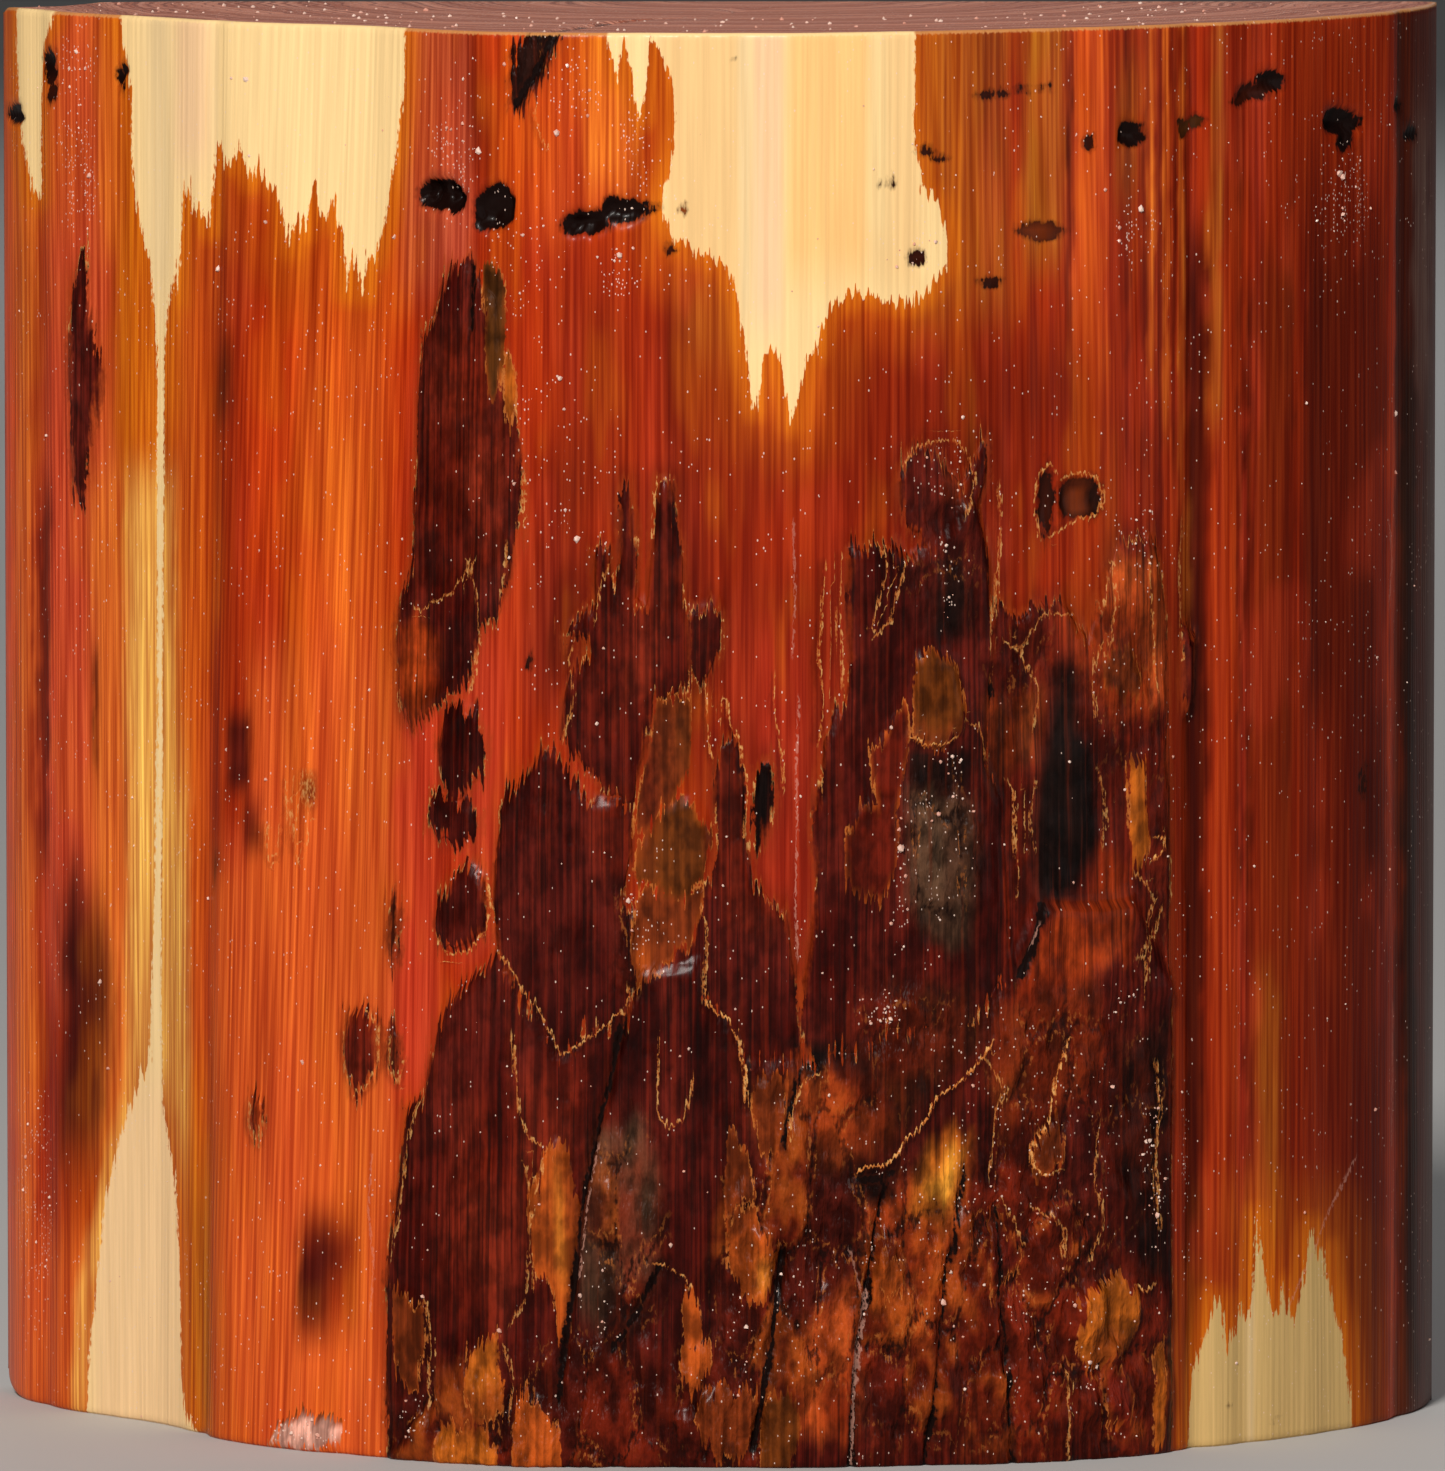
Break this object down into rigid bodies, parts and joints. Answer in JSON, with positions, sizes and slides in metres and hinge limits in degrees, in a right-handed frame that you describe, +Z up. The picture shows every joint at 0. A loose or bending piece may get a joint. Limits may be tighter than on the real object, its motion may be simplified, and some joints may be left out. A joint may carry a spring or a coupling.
{
  "type": "ironwood half log",
  "caption": "Upright ironwood half log with sawn ends and back, waxed red heartwood, cream sapwood and dark bark.",
  "frame": {"origin": "middle of the bottom of the bounding box, on the surface that the log stands on", "axes": "+Z up along the grain, -Y out of the round bark side, +Y out of the flat sawn back, +X to the right as seen from the bark side"},
  "size_m": [0.1618, 0.0674, 0.1581],
  "materials": {
    "wood": "gloss"
  },
  "bodies": {
    "root": {"half_log": "wood"}
  },
  "joints": []
}
